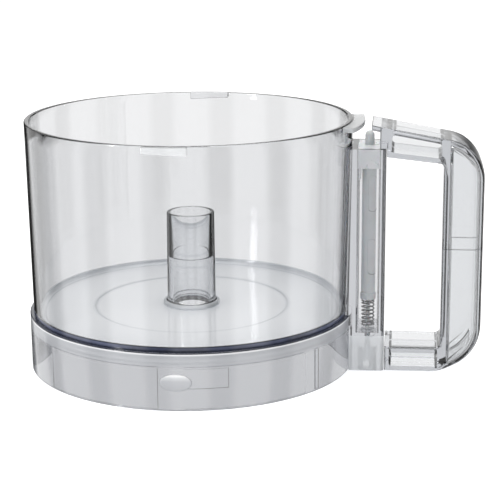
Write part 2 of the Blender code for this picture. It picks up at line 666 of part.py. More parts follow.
def make_handle_half(frame, material, which):
    """One half of the loop handle: an I-beam arm and its half of the hollow grip."""
    half = add_object(f"handle_{which}", rounded_plate(handle_outline(), HANDLE_HALF), frame, material)
    beyond = RIM_Z + HANDLE_HALF
    other = (-beyond, SEAM_Z + GAP / 2) if which == "upper" else (SEAM_Z - GAP / 2, beyond)
    rest = box((0, 2 * GRIP_X), (-2 * HANDLE_HALF, 2 * HANDLE_HALF), other)
    combine(half, add_object(f"{which}_seam_cutter", rest, frame), "DIFFERENCE")
    cavity = rounded_plate(cavity_outline(), HANDLE_HALF - GRIP_WALL)
    combine(half, add_object(f"{which}_cavity_cutter", cavity, frame), "DIFFERENCE")
    outline = recess_outlines()[which]
    for side, name in ((-1, "front"), (1, "back")):
        levels = sorted((side * WEB_HALF, side * 2 * HANDLE_HALF))
        recess = prism(outline, "y", *levels)
        combine(half, add_object(f"{which}_{name}_recess_cutter", recess, frame), "DIFFERENCE")


def build():
    """Make every piece."""
    clear_scene()
    bowl_axis = add_empty("bowl_axis", BOWL_X)
    rod_axis = add_empty("rod_axis", ROD_X, bowl_axis)
    clear = (0.80, 0.82, 0.84)
    make_bowl(bowl_axis, plastic("clear_bowl_polycarbonate", clear, 0.04, alpha=0.35))
    make_skirt(bowl_axis, plastic("clear_skirt_polycarbonate", clear, 0.05, alpha=0.45))
    make_tube(bowl_axis, plastic("clear_tube_polycarbonate", clear, 0.05, alpha=0.40))
    make_housing(bowl_axis, plastic("clear_housing_polycarbonate", clear, 0.05, alpha=0.45))
    make_cap(bowl_axis, plastic("natural_acetal_cap", (0.86, 0.87, 0.87), 0.35, alpha=0.7))
    make_rod(rod_axis, plastic("grey_acetal_rod", (0.42, 0.43, 0.43), 0.45))
    make_spring(rod_axis, plastic("stainless_spring_wire", (0.60, 0.60, 0.60), 0.25, 1.0))
    handle = plastic("clear_handle_polycarbonate", clear, 0.05, alpha=0.45)
    make_handle_half(bowl_axis, handle, "upper")
    make_handle_half(bowl_axis, handle, "lower")


build()
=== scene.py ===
"""Looks of a clear food processor work bowl: polished polycarbonate mouldings, a grey acetal
lock rod and its stainless spring, on a pale table in a room of tall bright panels.

Lengths are metres. Each moulding is drawn in the bowl's own frame, as part of one profile: r is
the distance from the bowl's axis, y goes across the handle and z is the height above the table.
"""
from math import atan2, cos, degrees, pi, radians, sin, sqrt, tau

import bmesh
import bpy
from mathutils import Matrix, Vector


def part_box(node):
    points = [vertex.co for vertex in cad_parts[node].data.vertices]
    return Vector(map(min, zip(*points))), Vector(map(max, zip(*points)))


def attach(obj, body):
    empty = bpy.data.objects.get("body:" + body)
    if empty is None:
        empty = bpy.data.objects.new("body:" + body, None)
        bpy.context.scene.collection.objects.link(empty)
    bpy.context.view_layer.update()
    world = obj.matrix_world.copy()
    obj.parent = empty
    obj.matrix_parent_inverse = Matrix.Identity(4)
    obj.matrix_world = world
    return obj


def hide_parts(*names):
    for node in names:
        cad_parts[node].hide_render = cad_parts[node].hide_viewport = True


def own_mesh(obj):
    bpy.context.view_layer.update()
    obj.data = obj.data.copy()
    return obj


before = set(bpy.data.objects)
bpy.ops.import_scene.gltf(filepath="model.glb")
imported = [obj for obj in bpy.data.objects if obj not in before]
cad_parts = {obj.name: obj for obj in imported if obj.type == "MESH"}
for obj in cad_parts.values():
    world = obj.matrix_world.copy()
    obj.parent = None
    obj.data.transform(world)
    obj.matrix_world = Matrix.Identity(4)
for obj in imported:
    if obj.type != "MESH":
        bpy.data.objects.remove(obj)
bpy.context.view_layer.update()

MM = 0.001
BODY = "bowl"
ROD_BODY = "lock_rod"

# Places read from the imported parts
SKIRT_LOW, SKIRT_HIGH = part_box("base_skirt")
BOWL_LOW, BOWL_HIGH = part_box("bowl_body")
TUBE_LOW, TUBE_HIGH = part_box("centre_tube")
HOUSING_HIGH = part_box("rod_housing")[1]
CAP_LOW, CAP_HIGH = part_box("rod_guide_cap")
ROD_LOW, ROD_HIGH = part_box("push_rod")
SPRING_LOW, SPRING_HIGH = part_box("rod_spring")
UPPER_LOW, UPPER_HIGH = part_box("handle_upper")
LOWER_LOW, LOWER_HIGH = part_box("handle_lower")

AXIS_X = (SKIRT_LOW.x + SKIRT_HIGH.x) / 2
SKIRT_R = (SKIRT_HIGH.x - SKIRT_LOW.x) / 2
FLOOR_Z = SKIRT_HIGH.z
RIM_Z = BOWL_HIGH.z
FLOOR_UNDER_Z = BOWL_LOW.z
LUG_R = BOWL_HIGH.y
ROD_X = (ROD_LOW.x + ROD_HIGH.x) / 2 - AXIS_X
HOUSING_OUT = HOUSING_HIGH.x - AXIS_X
HOUSING_HALF = HOUSING_HIGH.y
HOUSING_TOP_Z = HOUSING_HIGH.z
CHANNEL_IN = CAP_LOW.x - AXIS_X
CHANNEL_OUT = CAP_HIGH.x - AXIS_X
CHANNEL_HALF = CAP_HIGH.y
NOSE_X = 106.0 * MM
NOSE_Z = UPPER_HIGH.z
GRIP_X = UPPER_HIGH.x - AXIS_X
ARM_X = LOWER_LOW.x - AXIS_X
HANDLE_HALF = UPPER_HIGH.y
SEAM_Z = (LOWER_HIGH.z + UPPER_LOW.z) / 2

# Moulding sizes
GAP = 0.3 * MM
WALL = 2.8 * MM
RIM_R = 95.0 * MM
WALL_FOOT_R = RIM_R - 1.7 * MM
FILLET = 3.0 * MM
RIM_ROUND = 0.8 * MM
RING_R = 57.2 * MM
RING_STEP = 0.5 * MM
SKIRT_WALL = 3.1 * MM
SKIRT_INNER_R = SKIRT_R - SKIRT_WALL
TUBE_FOOT_R = 14.4 * MM
TUBE_TOP_R = 13.95 * MM
PALM_X = 147.0 * MM
LOWER_ARM = 14.5 * MM
FLANGE = 3.2 * MM
WEB_HALF = 1.6 * MM
GRIP_WALL = 3.5 * MM
TOP_CORNER_R = 24.0 * MM
BOTTOM_CORNER_R = 27.0 * MM
ARM_SLOPE = 0.18
OPENING_SLOPE = 0.115
ARM_DEPTH = 16.7 * MM
LUG_ANGLES = (-90.0, 90.0)
LUG_WIDTH = 14.5
SEGMENTS = 240
SETTLED_SHARP = 30.0                # edges sharper than this, in degrees, stay hard after a cut
CAP_LEG = 8.0 * MM                  # the cap's snap leg reaches this far below its plug

POLYCARBONATE_IOR = 1.586           # typical for the plastic

# Sockets of a Mix node: for colours, then for plain levels
MIX_FIRST, MIX_SECOND, MIX_RESULT = 6, 7, 2
LEVEL_FIRST, LEVEL_SECOND, LEVEL_RESULT = 2, 3, 0


# ------------------------------------------------------------------ colours and nodes

def linear(hex_colour):
    """An sRGB hex colour as linear RGBA."""
    parts = [int(hex_colour[i:i + 2], 16) / 255 for i in (1, 3, 5)]
    return tuple(c / 12.92 if c <= 0.04045 else ((c + 0.055) / 1.055) ** 2.4 for c in parts) + (1.0,)


def add_node(tree, kind, settings=None, inputs=None, stops=None):
    """Add one node with its settings, and give each input a value or link it to an output.

    Stops are the positions and colours of a colour ramp.
    """
    node = tree.nodes.new(kind)
    for name, value in (settings or {}).items():
        setattr(node, name, value)
    for name, value in (inputs or {}).items():
        if isinstance(value, bpy.types.NodeSocket):
            tree.links.new(value, node.inputs[name])
        else:
            node.inputs[name].default_value = value
    if stops:
        elements = node.color_ramp.elements
        while len(elements) < len(stops):
            elements.new(0.5)
        for element, (position, hex_colour) in zip(elements, stops):
            element.position = position
            element.color = linear(hex_colour)
    return node


def new_material(name):
    """An empty node material and its output."""
    material = bpy.data.materials.new(name)
    material.use_nodes = True
    tree = material.node_tree
    tree.nodes.clear()
    return material, tree, tree.nodes.new("ShaderNodeOutputMaterial")


def distance_from_axis(tree, place):
    """Distance of the shaded point from the bowl's axis."""
    flat = add_node(tree, "ShaderNodeMapping", inputs={
        "Vector": place, "Location": (-AXIS_X, 0.0, 0.0), "Scale": (1.0, 1.0, 0.0)})
    length = add_node(tree, "ShaderNodeVectorMath", {"operation": "LENGTH"}, {
        "Vector": flat.outputs["Vector"]})
    return length.outputs["Value"]


def zone(tree, *edges):
    """How far a point lies in a zone of the moulding: the levels of all its edges, multiplied.

    An edge is (what it follows, where it starts, where it ends, level before, level after), and
    it mostly follows a height or a distance.
    """
    level = None
    for source, start, end, before, after in edges:
        edge = add_node(tree, "ShaderNodeMapRange", inputs={
            "Value": source, "From Min": start, "From Max": end, "To Min": before, "To Max": after})
        if level is None:
            level = edge.outputs["Result"]
        else:
            level = add_node(tree, "ShaderNodeMath", {"operation": "MULTIPLY"}, {
                0: level, 1: edge.outputs["Result"]}).outputs["Value"]
    return level


def colours_along(tree, source, low, high, marks):
    """Colours, or levels as greys, at marks along a height or distance, joined smoothly."""
    share = add_node(tree, "ShaderNodeMapRange", inputs={
        "Value": source, "From Min": low, "From Max": high})
    stops = [((mark - low) / (high - low), hex_colour) for mark, hex_colour in marks]
    return add_node(tree, "ShaderNodeValToRGB", inputs={"Fac": share.outputs["Result"]},
                    stops=stops).outputs["Color"]


# ------------------------------------------------------------------ zones of the mouldings: frost, painted light and painted shade

def bowl_shade(tree, place):
    """Textured floor and inner corner with lines of painted shade, lugs painted light, and the wall's foot
    painted dark and blue.

    The foot's painted shade stands for what the real foot shows from outside: light led along the floor
    inside the plastic.
    """
    height = add_node(tree, "ShaderNodeSeparateXYZ", inputs={"Vector": place}).outputs["Z"]
    distance = distance_from_axis(tree, place)
    wall_in = WALL_FOOT_R - WALL
    corner = wall_in - FILLET
    foot_top = FLOOR_Z + 3.3 * MM
    below = (height, FLOOR_Z + 2.7 * MM, foot_top, 1.0, 0.0)
    outer = (distance, WALL_FOOT_R - 0.9 * MM, WALL_FOOT_R - 0.6 * MM, 0.0, 1.0)
    # The wall's foot all round: painted shade, dark and blue
    foot = zone(tree, below, (height, FLOOR_Z - 0.4 * MM, FLOOR_Z, 0.0, 1.0), outer)
    texture = colours_along(tree, distance, TUBE_FOOT_R, RIM_R, (
        (TUBE_FOOT_R, "#F0F0F0"), (corner, "#F4F4F4"), (wall_in + 0.1 * MM, "#F4F4F4"),
        (wall_in + 0.4 * MM, "#000000")))
    near_floor = zone(tree, below, (height, FLOOR_Z - 1.2 * MM, FLOOR_Z - 0.8 * MM, 0.0, 1.0))
    floor = add_node(tree, "ShaderNodeMath", {"operation": "MULTIPLY"}, {0: texture, 1: near_floor})
    # Lugs and ear: painted light, a pale opaque colour at half share
    lugs = zone(tree, (distance, RIM_R + 0.3 * MM, RIM_R + 0.8 * MM, 0.0, 0.5),
                (height, RIM_Z - 6 * MM, RIM_Z - 5.5 * MM, 0.0, 1.0))
    amount = foot
    for part in (floor.outputs["Value"], lugs):
        amount = add_node(tree, "ShaderNodeMath", {"operation": "MAXIMUM"}, {
            0: amount, 1: part}).outputs["Value"]
    # The foot's painted shade: two blues run into each other in streaks about 25 mm long
    streaks = add_node(tree, "ShaderNodeTexNoise", inputs={"Vector": place, "Scale": 38.0, "Detail": 3.0})
    deep = colours_along(tree, height, FLOOR_Z, foot_top, (
        (FLOOR_Z, "#1C1E26"), (FLOOR_Z + 1.1 * MM, "#353848"), (FLOOR_Z + 1.9 * MM, "#3C4052"),
        (FLOOR_Z + 2.6 * MM, "#15171C")))
    light = colours_along(tree, height, FLOOR_Z, foot_top, (
        (FLOOR_Z, "#262934"), (FLOOR_Z + 0.9 * MM, "#565B70"), (FLOOR_Z + 1.8 * MM, "#5F6478"),
        (FLOOR_Z + 2.6 * MM, "#1B1D24")))
    painted_foot_shade = add_node(tree, "ShaderNodeMix", {"data_type": "RGBA"}, {
        "Factor": zone(tree, (streaks.outputs["Fac"], 0.35, 0.65, 0.0, 1.0)),
        MIX_FIRST: deep, MIX_SECOND: light})
    # Pale colour of the floor's frost and of the lugs' painted light, with darker lines of painted shade at
    # the ring step and the inner corner
    pale = colours_along(tree, distance, TUBE_FOOT_R, LUG_R, (
        (RING_R - 2.0 * MM, "#ECEDEE"), (RING_R, "#D6D8DB"), (RING_R + 2.4 * MM, "#ECEDEE"),
        (corner - 0.7 * MM, "#ECEDEE"), (corner - 0.2 * MM, "#B2B5B9"),
        (corner + 0.3 * MM, "#E2E4E6"), (wall_in, "#D6D8DA"), (RIM_R + 0.5 * MM, "#EEF0F1")))
    colour = add_node(tree, "ShaderNodeMix", {"data_type": "RGBA"}, {
        "Factor": zone(tree, outer, below), MIX_FIRST: pale, MIX_SECOND: painted_foot_shade.outputs[MIX_RESULT]})
    return amount, colour.outputs[MIX_RESULT]


def skirt_shade(tree, place):
    """The skirt's lip over the bowl's edge, painted: a dark seat line of painted shade, a painted highlight
    on the rounded edge, then pale.
    """
    height = add_node(tree, "ShaderNodeSeparateXYZ", inputs={"Vector": place}).outputs["Z"]
    distance = distance_from_axis(tree, place)
    lip_foot = FLOOR_Z - 10 * MM
    # Share of the skirt's outside painted over: about a quarter low down and most of the lip, as painted
    # light in place of the views bent through the clear plastic
    level = colours_along(tree, height, lip_foot, FLOOR_Z, (
        (FLOOR_Z - 9.0 * MM, "#8C8C8C"), (FLOOR_Z - 7.0 * MM, "#E8E8E8"), (FLOOR_Z, "#F0F0F0")))
    outer = zone(tree, (distance, WALL_FOOT_R - 0.1 * MM, WALL_FOOT_R + 0.1 * MM, 0.0, 1.0))
    lip = add_node(tree, "ShaderNodeMath", {"operation": "MULTIPLY"}, {0: level, 1: outer})
    # The thumb pad is the only thing that stands proud of the skirt
    proud = zone(tree, (distance, SKIRT_R + 0.05 * MM, SKIRT_R + 0.15 * MM, 0.0, 0.62))
    amount = add_node(tree, "ShaderNodeMath", {"operation": "MAXIMUM"}, {
        0: lip.outputs["Value"], 1: proud})
    # The lip's painted light: grey low down, a painted highlight along the rounded edge, then a dark seat
    # line of painted shade under the bowl's foot
    lip_painted_light = colours_along(tree, height, lip_foot, FLOOR_Z, (
        (FLOOR_Z - 8.0 * MM, "#A9ABAF"), (FLOOR_Z - 1.8 * MM, "#B4B6BA"), (FLOOR_Z - 1.4 * MM, "#E4E5E7"),
        (FLOOR_Z - 0.9 * MM, "#F2F3F4"), (FLOOR_Z - 0.6 * MM, "#2A2D38"), (FLOOR_Z, "#343846")))
    # The thumb pad: frost, painted darker at its foot and with a painted highlight along its top edge
    pad_frost_and_painted_light = colours_along(tree, height, 11 * MM, 21 * MM, (
        (11 * MM, "#A2A4A8"), (17 * MM, "#B4B6BA"), (19 * MM, "#D6D8DA"), (20 * MM, "#FFFFFF")))
    colour = add_node(tree, "ShaderNodeMix", {"data_type": "RGBA"}, {
        "Factor": zone(tree, (proud, 0.0, 0.6, 0.0, 1.0)),
        MIX_FIRST: lip_painted_light, MIX_SECOND: pad_frost_and_painted_light})
    return amount.outputs["Value"], colour.outputs[MIX_RESULT]


def tube_shade(tree, place):
    """The bead round the tube's foot, painted an opaque pale grey that is greyer next to the tube: painted
    light over the clear bead.
    """
    distance = distance_from_axis(tree, place)
    amount = zone(tree, (distance, TUBE_FOOT_R + 0.5 * MM, TUBE_FOOT_R + 1.1 * MM, 0.0, 0.7))
    bead_r = TUBE_FOOT_R + 3 * MM
    return amount, colours_along(tree, distance, TUBE_TOP_R, bead_r, (
        (TUBE_TOP_R, "#C8CACD"), (bead_r, "#EEF0F1")))


def housing_shade(tree, place):
    """The housing's solid foot, painted an opaque pale grey that is darker towards the bottom: painted light
    over the clear block.
    """
    height = add_node(tree, "ShaderNodeSeparateXYZ", inputs={"Vector": place}).outputs["Z"]
    seat = SPRING_LOW.z - GAP
    amount = zone(tree, (height, seat - 1.4 * MM, seat - 0.9 * MM, 0.72, 0.0))
    return amount, colours_along(tree, height, 0.0, seat, (
        (0.0, "#C6C8CA"), (seat * 0.7, "#CBCDCF"), (seat, "#D6D8DA")))


# ------------------------------------------------------------------ materials

def moulded_polycarbonate(name, tint, density, shade=None):
    """Polycarbonate from a polished mould: clear, faintly smoky and blue in its edges.

    The eye gets sharp bent views, very slight upright flow waves from the filling of the mould,
    and hair-fine wiping scratches that break up its highlights. A shade function lays opaque zones
    over the clear plastic: frost where the mould was textured, painted light and painted shade elsewhere.
    """
    material, tree, output = new_material(name)
    place = add_node(tree, "ShaderNodeTexCoord").outputs["Object"]
    # Flow waves: about 9 mm apart round the wall and ten times as long up it
    stretched = add_node(tree, "ShaderNodeMapping", inputs={
        "Vector": place, "Scale": (110.0, 110.0, 11.0)})
    flow = add_node(tree, "ShaderNodeTexNoise", inputs={
        "Vector": stretched.outputs["Vector"], "Scale": 1.0, "Detail": 2.0, "Roughness": 0.45})
    # Wiping scratches: real ones are 0.02 mm wide, drawn 0.3 mm wide so that they show
    wiped = add_node(tree, "ShaderNodeMapping", inputs={
        "Vector": place, "Scale": (260.0, 260.0, 2600.0), "Rotation": (0.25, 0.15, 0.0)})
    hairs = add_node(tree, "ShaderNodeTexNoise", inputs={
        "Vector": wiped.outputs["Vector"], "Scale": 1.0, "Detail": 3.0, "Roughness": 0.7})
    roughness = add_node(tree, "ShaderNodeMapRange", inputs={
        "Value": hairs.outputs["Fac"], "From Min": 0.58, "From Max": 0.78,
        "To Min": 0.008, "To Max": 0.035})
    bump = add_node(tree, "ShaderNodeBump", inputs={
        "Height": flow.outputs["Fac"], "Strength": 0.02, "Distance": 0.4 * MM})
    plastic = add_node(tree, "ShaderNodeBsdfPrincipled", inputs={
        "Base Color": linear(tint), "IOR": POLYCARBONATE_IOR, "Transmission Weight": 1.0,
        "Roughness": roughness.outputs["Result"], "Normal": bump.outputs["Normal"]})
    if shade:
        amount, colour = shade(tree, place)
        # A zone counts where its surface is met from the air, and not again from inside
        inside = add_node(tree, "ShaderNodeNewGeometry").outputs["Backfacing"]
        share = add_node(tree, "ShaderNodeMath", {"operation": "MULTIPLY"}, {
            0: amount, 1: zone(tree, (inside, 0.0, 1.0, 1.0, 0.0))})
        # The zones' opaque colour: frost where the mould was textured, painted light and painted shade
        # elsewhere
        zone_frost_and_painted_light = add_node(tree, "ShaderNodeBsdfPrincipled", inputs={
            "Base Color": colour, "IOR": POLYCARBONATE_IOR, "Roughness": 0.08,
            "Normal": bump.outputs["Normal"]})
        plastic = add_node(tree, "ShaderNodeMixShader", inputs={
            0: share.outputs["Value"], 1: plastic.outputs[0], 2: zone_frost_and_painted_light.outputs[0]})
    # Lamps shine straight through, so that the table and the rod behind it are lit
    passed = add_node(tree, "ShaderNodeBsdfTransparent", inputs={"Color": linear("#F4F5F6")})
    path = add_node(tree, "ShaderNodeLightPath")
    straight = add_node(tree, "ShaderNodeMath", {"operation": "MAXIMUM"}, {
        0: path.outputs["Is Shadow Ray"], 1: path.outputs["Is Diffuse Ray"]})
    surface = add_node(tree, "ShaderNodeMixShader", inputs={
        0: straight.outputs["Value"], 1: plastic.outputs[0], 2: passed.outputs[0]})
    tree.links.new(surface.outputs[0], output.inputs["Surface"])
    # Light that runs a long way inside the plastic, as in its edges, comes out dim and bluish
    deep = add_node(tree, "ShaderNodeVolumeAbsorption", inputs={
        "Color": linear("#56647C"), "Density": density})
    tree.links.new(deep.outputs[0], output.inputs["Volume"])
    return material


def moulded_acetal(name, colour, darker, roughness, translucent=0.0):
    """Acetal, moulded: waxy and satin, with cloudy flow marks and fine tool texture."""
    material, tree, output = new_material(name)
    place = add_node(tree, "ShaderNodeTexCoord").outputs["Object"]
    # Cloudy flow marks, about 6 mm across
    cloud = add_node(tree, "ShaderNodeTexNoise", inputs={"Vector": place, "Scale": 160.0, "Detail": 3.0})
    # Turning marks left by the mould's core, 0.5 mm apart along the length
    along = add_node(tree, "ShaderNodeTexWave", {"bands_direction": "Z", "wave_profile": "SIN"}, {
        "Vector": place, "Scale": 320.0, "Distortion": 0.6, "Detail": 1.0})
    # Spark-eroded texture, 0.15 mm grain
    grain = add_node(tree, "ShaderNodeTexNoise", inputs={
        "Vector": place, "Scale": 6500.0, "Detail": 2.0})
    colours = add_node(tree, "ShaderNodeMix", {"data_type": "RGBA"}, {
        "Factor": cloud.outputs["Fac"], MIX_FIRST: linear(darker), MIX_SECOND: linear(colour)})
    marks = add_node(tree, "ShaderNodeBump", inputs={
        "Height": along.outputs["Fac"], "Strength": 0.10, "Distance": 0.05 * MM})
    bump = add_node(tree, "ShaderNodeBump", inputs={
        "Height": grain.outputs["Fac"], "Normal": marks.outputs["Normal"],
        "Strength": 0.25, "Distance": 0.03 * MM})
    satin = add_node(tree, "ShaderNodeMapRange", inputs={
        "Value": cloud.outputs["Fac"], "From Min": 0.3, "From Max": 0.7,
        "To Min": roughness * 0.85, "To Max": roughness * 1.15})
    shader = add_node(tree, "ShaderNodeBsdfPrincipled", inputs={
        "Base Color": colours.outputs[MIX_RESULT], "Normal": bump.outputs["Normal"],
        "Roughness": satin.outputs["Result"], "IOR": 1.48, "Transmission Weight": translucent,
        "Subsurface Weight": 0.15 * (1 - translucent), "Subsurface Scale": 1.5 * MM})
    tree.links.new(shader.outputs[0], output.inputs["Surface"])
    return material


def drawn_stainless(name):
    """Stainless spring wire, drawn: bright, with fine die lines and darker oxide patches."""
    material, tree, output = new_material(name)
    place = add_node(tree, "ShaderNodeTexCoord").outputs["Object"]
    # Die lines 0.1 mm apart, seen as streaks along the wire
    lines = add_node(tree, "ShaderNodeTexNoise", inputs={
        "Vector": place, "Scale": 9000.0, "Detail": 2.0})
    # Oxide patches, about 2 mm across
    patches = add_node(tree, "ShaderNodeTexNoise", inputs={
        "Vector": place, "Scale": 500.0, "Detail": 2.0})
    colours = add_node(tree, "ShaderNodeMix", {"data_type": "RGBA"}, {
        "Factor": patches.outputs["Fac"], MIX_FIRST: linear("#3C3D40"), MIX_SECOND: linear("#6C6D70")})
    bump = add_node(tree, "ShaderNodeBump", inputs={
        "Height": lines.outputs["Fac"], "Strength": 0.2, "Distance": 0.02 * MM})
    polish = add_node(tree, "ShaderNodeMapRange", inputs={
        "Value": lines.outputs["Fac"], "From Min": 0.3, "From Max": 0.7,
        "To Min": 0.16, "To Max": 0.30})
    shader = add_node(tree, "ShaderNodeBsdfPrincipled", inputs={
        "Base Color": colours.outputs[MIX_RESULT], "Metallic": 1.0,
        "Roughness": polish.outputs["Result"], "Normal": bump.outputs["Normal"]})
    tree.links.new(shader.outputs[0], output.inputs["Surface"])
    return material


# ------------------------------------------------------------------ mesh helpers

def add_object(name, shape, material=None, angle=35):
    """Turn a bmesh, drawn in the bowl's frame, into an object in the part's frame."""
    bmesh.ops.recalc_face_normals(shape, faces=shape.faces)
    mesh = bpy.data.meshes.new(name)
    shape.to_mesh(mesh)
    shape.free()
    mesh.transform(Matrix.Translation((AXIS_X, 0, 0)))
    mesh.shade_smooth()
    mesh.set_sharp_from_angle(angle=radians(angle))
    thing = bpy.data.objects.new(name, mesh)
    bpy.context.scene.collection.objects.link(thing)
    if material:
        mesh.materials.append(material)
    return thing


def combine(target, tool, operation):
    """Cut or join a tool with a Boolean, and keep the result as the target's mesh."""
    modifier = target.modifiers.new("boolean", "BOOLEAN")
    modifier.operation = operation
    modifier.solver = "MANIFOLD"
    modifier.object = tool
    settle(target)
    bpy.data.objects.remove(tool, do_unlink=True)


def settle(target):
    """Replace an object's mesh by its evaluated one."""
    bpy.context.view_layer.update()
    graph = bpy.context.evaluated_depsgraph_get()
    mesh = bpy.data.meshes.new_from_object(target.evaluated_get(graph), depsgraph=graph)
    target.modifiers.clear()
    mesh.set_sharp_from_angle(angle=radians(SETTLED_SHARP))
    target.data = mesh


def soften_edges(target, width, angle=50, steps=2):
    """Round the sharp edges as a mould does, and keep flat faces flat in the light."""
    bevel = target.modifiers.new("mould_radius", "BEVEL")
    bevel.width = width
    bevel.segments = steps
    bevel.limit_method = "ANGLE"
    bevel.angle_limit = radians(angle)
    bevel.miter_outer = "MITER_ARC"
    weighted = target.modifiers.new("flat_faces", "WEIGHTED_NORMAL")
    weighted.keep_sharp = True
    weighted.weight = 80


def arc(cx, cz, radius, start, end, steps):
    """Points on a circle from one angle to another, in degrees."""
    points = []
    for step in range(steps + 1):
        angle = radians(start + (end - start) * step / steps)
        points.append((cx + radius * cos(angle), cz + radius * sin(angle)))
    return points


def filleted(points, radius, steps=5):
    """A closed outline with each of its corners rounded by one radius."""
    rounded = []
    count = len(points)
    for i in range(count):
        before, here, after = Vector(points[i - 1]), Vector(points[i]), Vector(points[(i + 1) % count])
        u, v = (before - here).normalized(), (after - here).normalized()
        half = u.angle(v) / 2
        centre = here + (u + v).normalized() * (radius / sin(half))
        reach = radius * cos(half) / sin(half)
        start, end = here + u * reach - centre, here + v * reach - centre
        turn = atan2(start.x * end.y - start.y * end.x, start.dot(end))
        for k in range(steps + 1):
            angle = turn * k / steps
            x = start.x * cos(angle) - start.y * sin(angle)
            y = start.x * sin(angle) + start.y * cos(angle)
            rounded.append((centre.x + x, centre.y + y))
    return rounded


def turned(outline, segments=SEGMENTS):
    """A closed (radius, height) outline turned about the z axis."""
    shape = bmesh.new()
    rings = []
    for step in range(segments):
        angle = tau * step / segments
        rings.append([shape.verts.new((r * cos(angle), r * sin(angle), z)) for r, z in outline])
    count = len(outline)
    for step in range(segments):
        here, there = rings[step], rings[(step + 1) % segments]
        for i in range(count):
            j = (i + 1) % count
            shape.faces.new((here[i], there[i], there[j], here[j]))
    bmesh.ops.remove_doubles(shape, verts=shape.verts, dist=1e-7)
    return shape


def add_curved_block(shape, radii, angles, low, high, step_degrees=1.5):
    """Add a block between two radii and two angles; low and high are heights at each end."""
    steps = max(1, round((angles[1] - angles[0]) / step_degrees))
    sections = []
    for step in range(steps + 1):
        share = step / steps
        angle = radians(angles[0] + (angles[1] - angles[0]) * share)
        z_low = low[0] + (low[1] - low[0]) * share
        z_high = high[0] + (high[1] - high[0]) * share
        corners = ((radii[0], z_low), (radii[1], z_low), (radii[1], z_high), (radii[0], z_high))
        sections.append([shape.verts.new((r * cos(angle), r * sin(angle), z)) for r, z in corners])
    for here, there in zip(sections, sections[1:]):
        for i in range(4):
            j = (i + 1) % 4
            shape.faces.new((here[i], here[j], there[j], there[i]))
    shape.faces.new(sections[0])
    shape.faces.new(reversed(sections[-1]))


def prism(outline, axis, start, end):
    """A flat outline extruded along y (an x-z outline) or z (an x-y outline)."""
    shape = bmesh.new()
    layers = []
    for level in (start, end):
        if axis == "y":
            layers.append([shape.verts.new((a, level, b)) for a, b in outline])
        else:
            layers.append([shape.verts.new((a, b, level)) for a, b in outline])
    count = len(outline)
    for i in range(count):
        j = (i + 1) % count
        shape.faces.new((layers[0][i], layers[0][j], layers[1][j], layers[1][i]))
    shape.faces.new(layers[0])
    shape.faces.new(reversed(layers[1]))
    return shape


def rectangle(x_range, y_range):
    """Corners of a rectangle."""
    (x0, x1), (y0, y1) = x_range, y_range
    return [(x0, y0), (x1, y0), (x1, y1), (x0, y1)]


def disc(x, radius, z_range, segments=64):
    """An upright round bar centred at distance x."""
    outline = [(x + radius * cos(tau * k / segments), radius * sin(tau * k / segments))
               for k in range(segments)]
    return prism(outline, "z", *z_range)


def inward_mitre(before, point, after):
    """Direction, scaled for the corner, that moves an anticlockwise outline inward by one."""
    normals = []
    for a, b in ((before, point), (point, after)):
        dx, dz = b[0] - a[0], b[1] - a[1]
        length = sqrt(dx * dx + dz * dz)
        normals.append((-dz / length, dx / length))
    nx, nz = normals[0][0] + normals[1][0], normals[0][1] + normals[1][1]
    scale = 2.0 / (nx * nx + nz * nz)
    return nx * scale, nz * scale


def rounded_plate(outline, half, steps=7):
    """A plate in the x-z plane whose two rims are rounded by each point's own radius."""
    shape = bmesh.new()
    count = len(outline)
    quarter = [pi / 2 * k / steps for k in range(steps + 1)]
    turns = [(1, a) for a in reversed(quarter)] + [(-1, a) for a in quarter]
    layers = []
    for side, angle in turns:
        layer = []
        for i, (x, z, rounding) in enumerate(outline):
            mx, mz = inward_mitre(outline[i - 1], (x, z), outline[(i + 1) % count])
            inset = rounding * (1 - cos(angle))
            y = side * (half - rounding * (1 - sin(angle)))
            layer.append(shape.verts.new((x + mx * inset, y, z + mz * inset)))
        layers.append(layer)
    for here, there in zip(layers, layers[1:]):
        for i in range(count):
            j = (i + 1) % count
            shape.faces.new((here[i], here[j], there[j], there[i]))
    shape.faces.new(layers[0])
    shape.faces.new(reversed(layers[-1]))
    return shape


def fit(piece, slot, *nodes, body=BODY):
    """Let a finished piece ride on its body and stand for its CAD nodes; the slot, its finish's name, is not
    used.
    """
    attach(piece, body)
    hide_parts(*nodes)


# ------------------------------------------------------------------ bowl

def ring_step():
    """The soft step moulded in the floor, from outside in."""
    width, steps = 1.6 * MM, 8
    points = []
    for k in range(steps + 1):
        share = k / steps
        ease = share * share * (3 - 2 * share)
        points.append((RING_R + width / 2 - width * share, FLOOR_Z - RING_STEP * ease))
    return points


def bowl_outline():
    """Half-section of the wall and floor."""
    inner_foot = WALL_FOOT_R - WALL
    hole = TUBE_FOOT_R + GAP
    rim_out = arc(RIM_R - RIM_ROUND, RIM_Z - RIM_ROUND, RIM_ROUND, 0, 90, 5)
    rim_in = arc(RIM_R - WALL + RIM_ROUND, RIM_Z - RIM_ROUND, RIM_ROUND, 90, 180, 5)
    foot = arc(inner_foot - FILLET, FLOOR_Z + FILLET, FILLET, 0, -90, 12)
    # Rings under the lugs keep the wall's long faces out of their cuts
    under = 8.0 * MM
    lean = (RIM_R - WALL_FOOT_R) / (RIM_Z - FLOOR_Z)
    wall_out = (RIM_R - under * lean, RIM_Z - under)
    wall_in = (RIM_R - WALL - under * lean, RIM_Z - under)
    return ([(hole, FLOOR_UNDER_Z)] + arc(WALL_FOOT_R - GAP, FLOOR_UNDER_Z + GAP, GAP, -90, 0, 3)
            + [(WALL_FOOT_R, FLOOR_Z), wall_out] + rim_out + rim_in + [wall_in] + foot + ring_step()
            + [(hole, FLOOR_Z - RING_STEP)])


